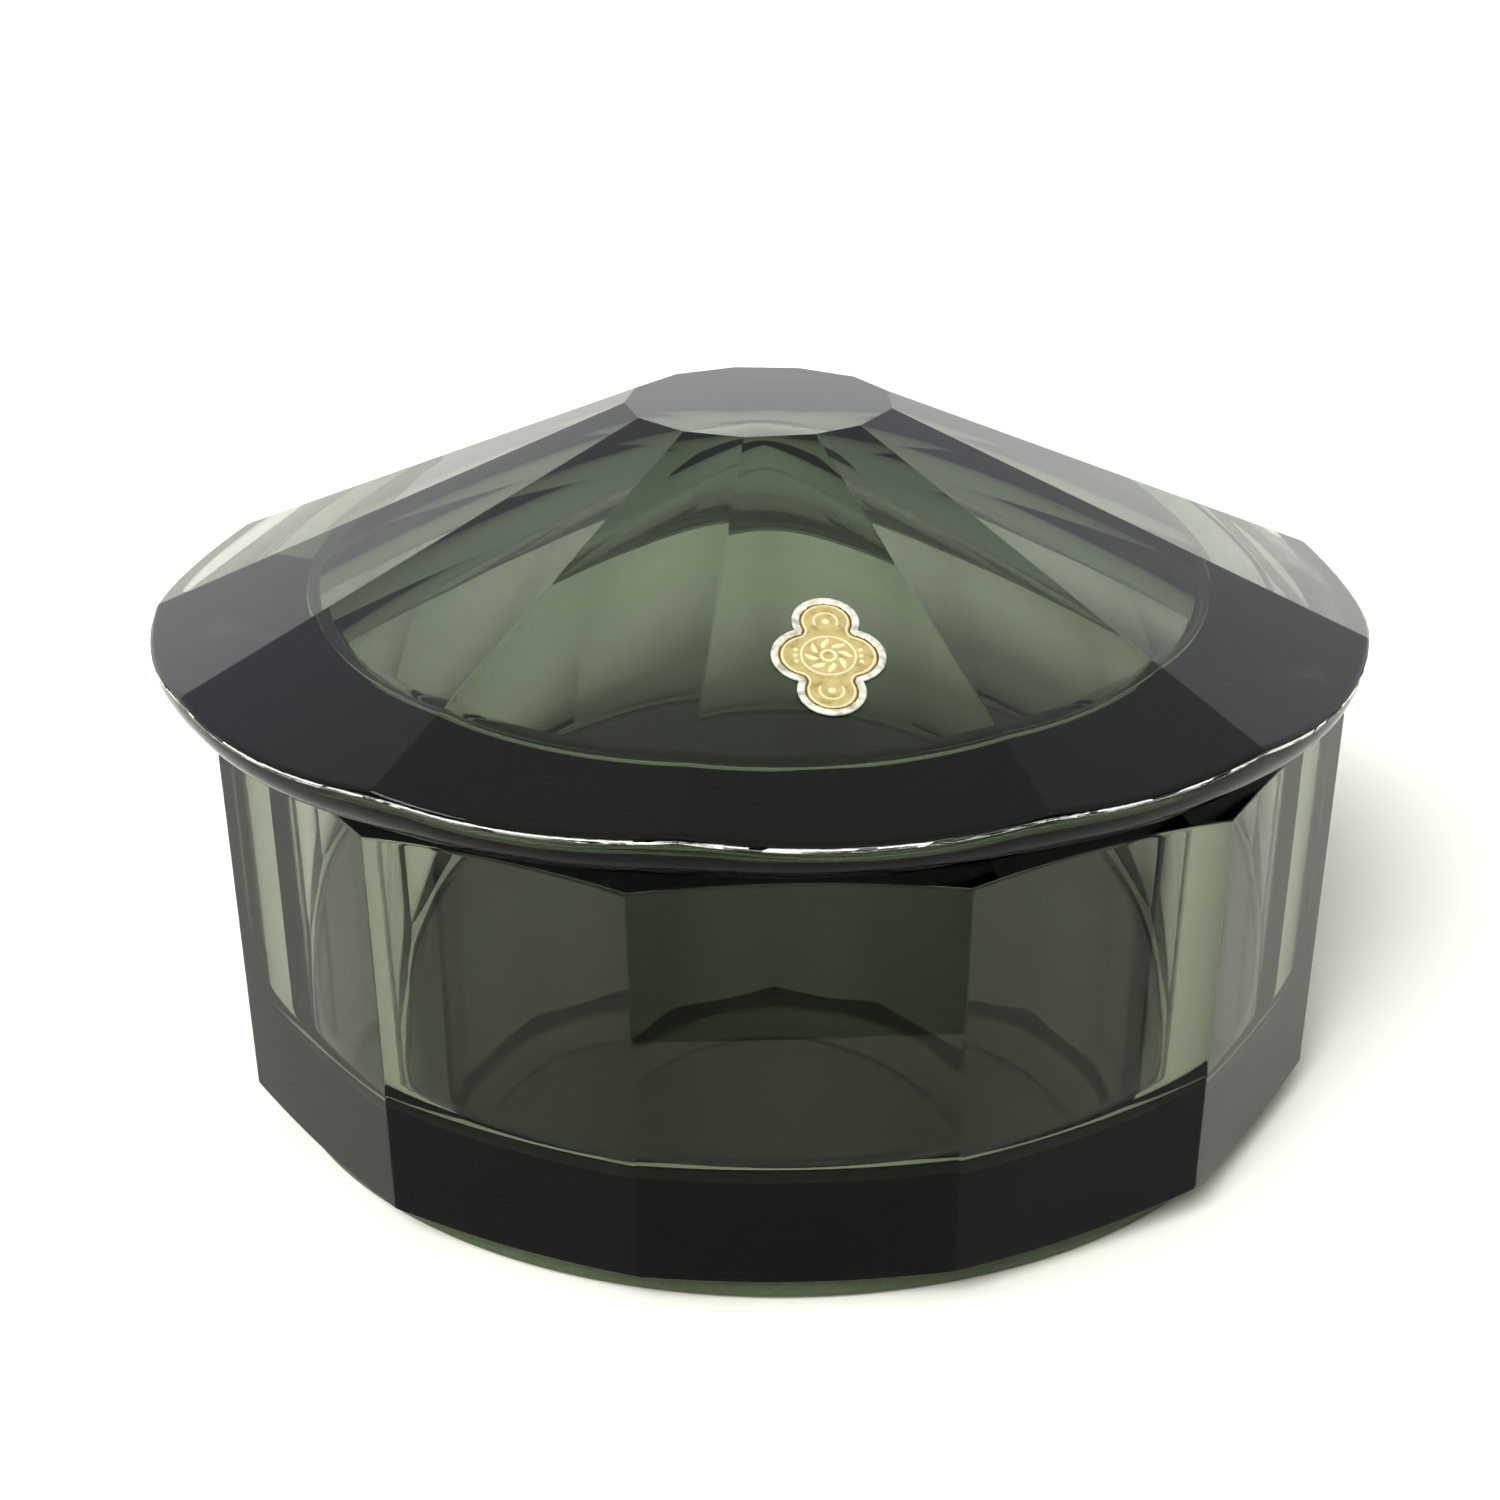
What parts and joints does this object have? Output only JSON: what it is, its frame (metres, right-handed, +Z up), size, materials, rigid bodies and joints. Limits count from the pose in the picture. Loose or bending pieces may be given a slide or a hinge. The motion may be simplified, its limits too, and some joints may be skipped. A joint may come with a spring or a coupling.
{
  "type": "powder jar",
  "caption": "Round cut-glass powder jar with flat facets and a low faceted lid that lifts off, for loose powder and a puff.",
  "frame": {"origin": "centre of the jar's round foot, on the surface that it stands on", "axes": "+Z up along the jar's axis, -Y towards the front, where the foil label is, +X to the right"},
  "size_m": [0.145, 0.1449, 0.083],
  "materials": {
    "jar_glass": "polished smoky grey-green glass",
    "lid_glass": "polished smoky grey-green glass",
    "label_foil": "embossed gold foil with a silver edge"
  },
  "bodies": {
    "jar": {"jar_body": "jar_glass"},
    "lid": {"lid": "lid_glass", "foil_label": "label_foil"}
  },
  "joints": [
    {"name": "lid_lift", "type": "slide", "parent": "jar", "child": "lid", "axis": [0, 0, 1], "range_m": [0, 0.09]}
  ]
}
